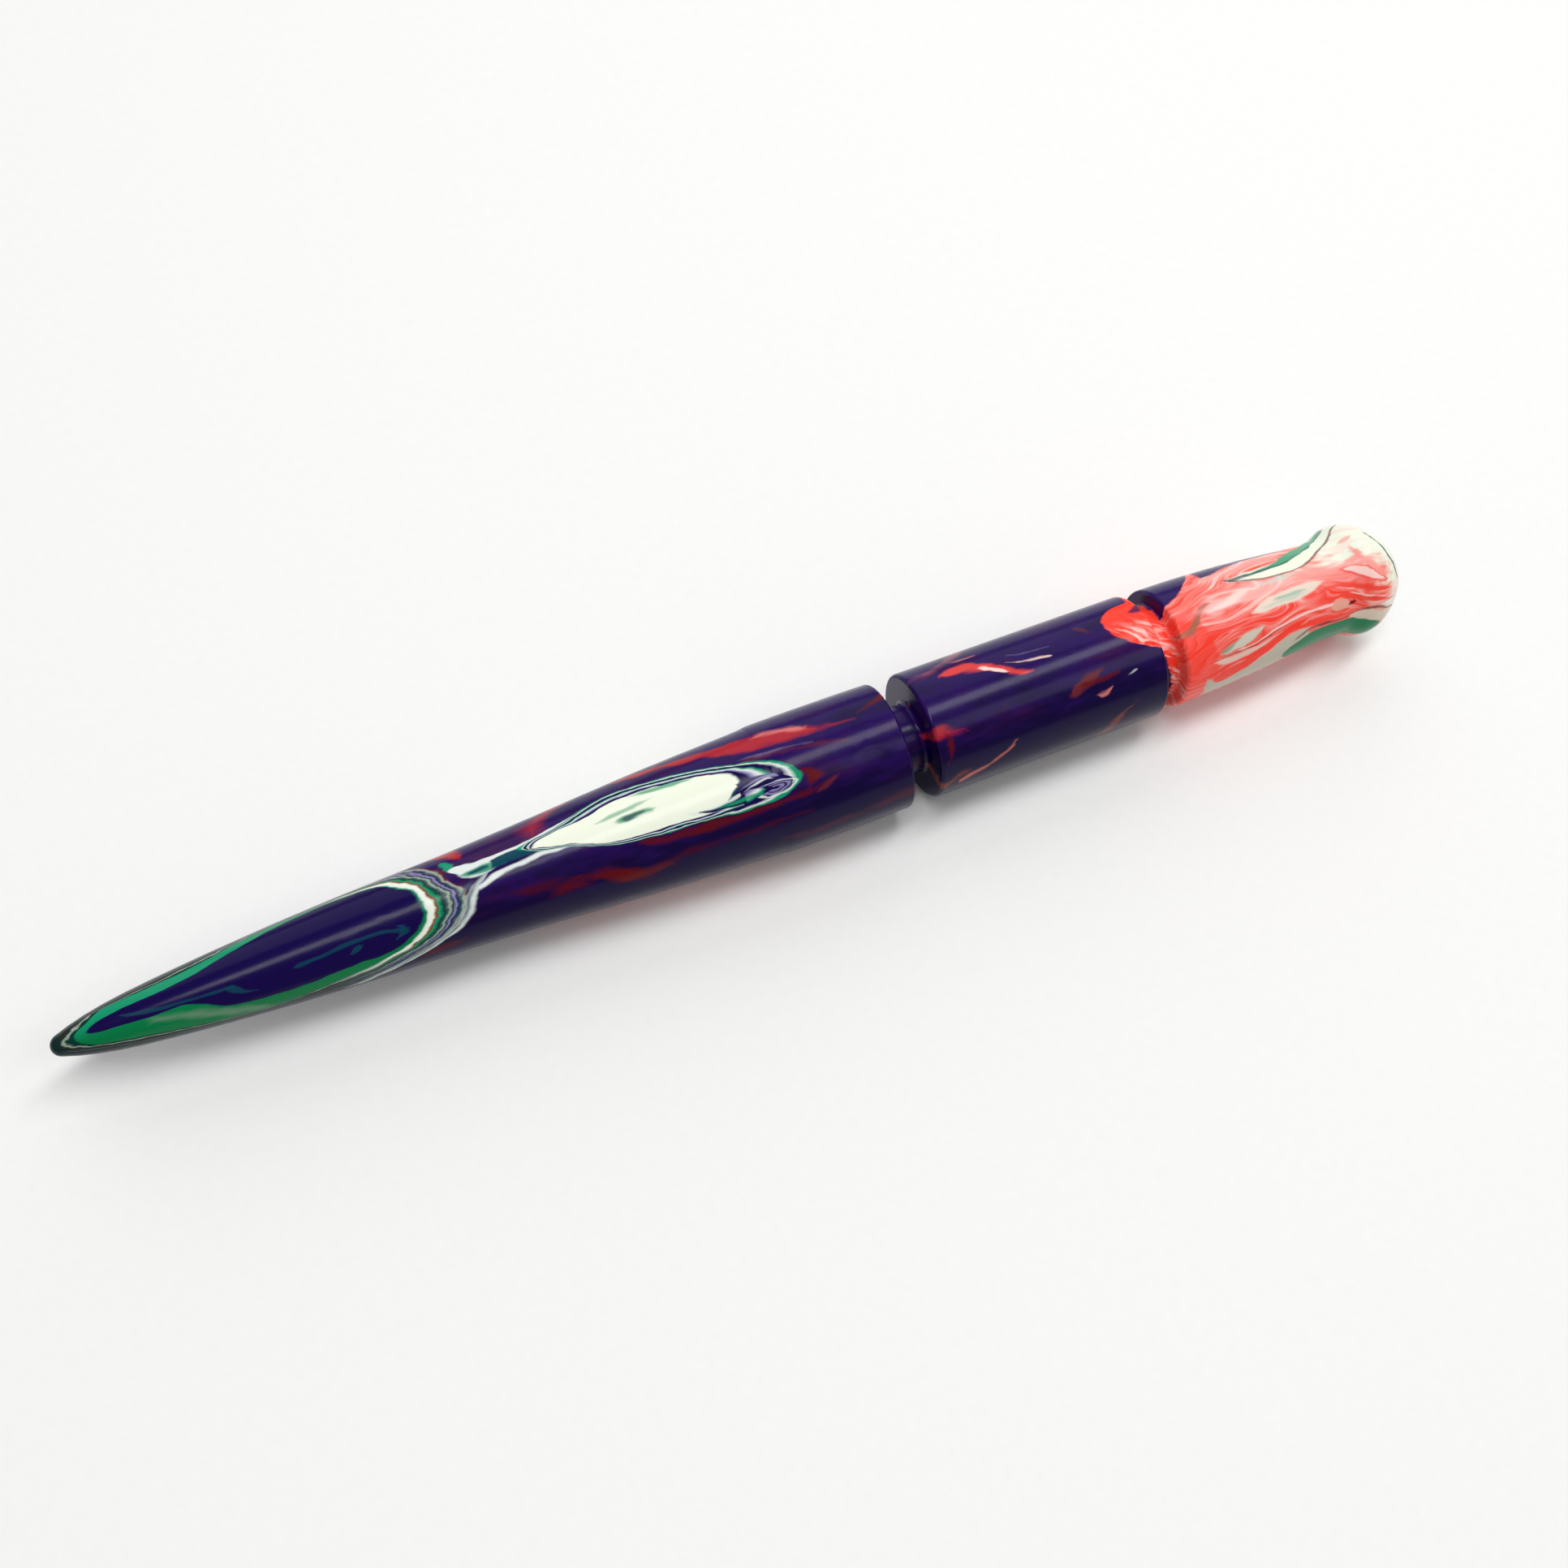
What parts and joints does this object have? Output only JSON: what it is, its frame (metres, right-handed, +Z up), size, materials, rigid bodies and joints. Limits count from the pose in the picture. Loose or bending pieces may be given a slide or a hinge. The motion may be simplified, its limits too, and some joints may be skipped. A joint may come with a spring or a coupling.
{
  "type": "dip pen holder",
  "caption": "Dip pen holder turned from swirled resin: long tapered tail, straight barrel between two grooves, hollow-sided flared grip, and a sprung steel nib insert in a blind bore.",
  "frame": {"origin": "on the surface the holder lies on, under the middle of its length", "axes": "+X along the holder to the nib end, +Z up from the surface it lies on"},
  "size_m": [0.1344, 0.0126, 0.0126],
  "materials": {
    "swirled_resin": "polished",
    "sleeve_steel": "drawn",
    "spring_steel": "satin"
  },
  "bodies": {
    "holder": {"holder_body": "swirled_resin", "nib_sleeve": "sleeve_steel", "crown_ring": "spring_steel"},
    "petal_1": {"petal_1": "spring_steel"},
    "petal_2": {"petal_2": "spring_steel"},
    "petal_3": {"petal_3": "spring_steel"},
    "petal_4": {"petal_4": "spring_steel"}
  },
  "joints": [
    {"name": "petal_1_flex", "type": "hinge", "parent": "holder", "child": "petal_1", "pos_m": [0.05418, 0, 0.00949], "axis": [0, 1, 0], "range_deg": [0, 3], "stiffness_Nm_per_rad": 0.05, "springref_deg": -1.15},
    {"name": "petal_2_flex", "type": "hinge", "parent": "holder", "child": "petal_2", "pos_m": [0.05418, -0.00319, 0.0063], "axis": [0, 0, 1], "range_deg": [0, 3], "stiffness_Nm_per_rad": 0.05, "springref_deg": -1.15},
    {"name": "petal_3_flex", "type": "hinge", "parent": "holder", "child": "petal_3", "pos_m": [0.05418, 0, 0.00311], "axis": [0, -1, 0], "range_deg": [0, 3], "stiffness_Nm_per_rad": 0.05, "springref_deg": -1.15},
    {"name": "petal_4_flex", "type": "hinge", "parent": "holder", "child": "petal_4", "pos_m": [0.05418, 0.00319, 0.0063], "axis": [0, 0, -1], "range_deg": [0, 3], "stiffness_Nm_per_rad": 0.05, "springref_deg": -1.15}
  ]
}
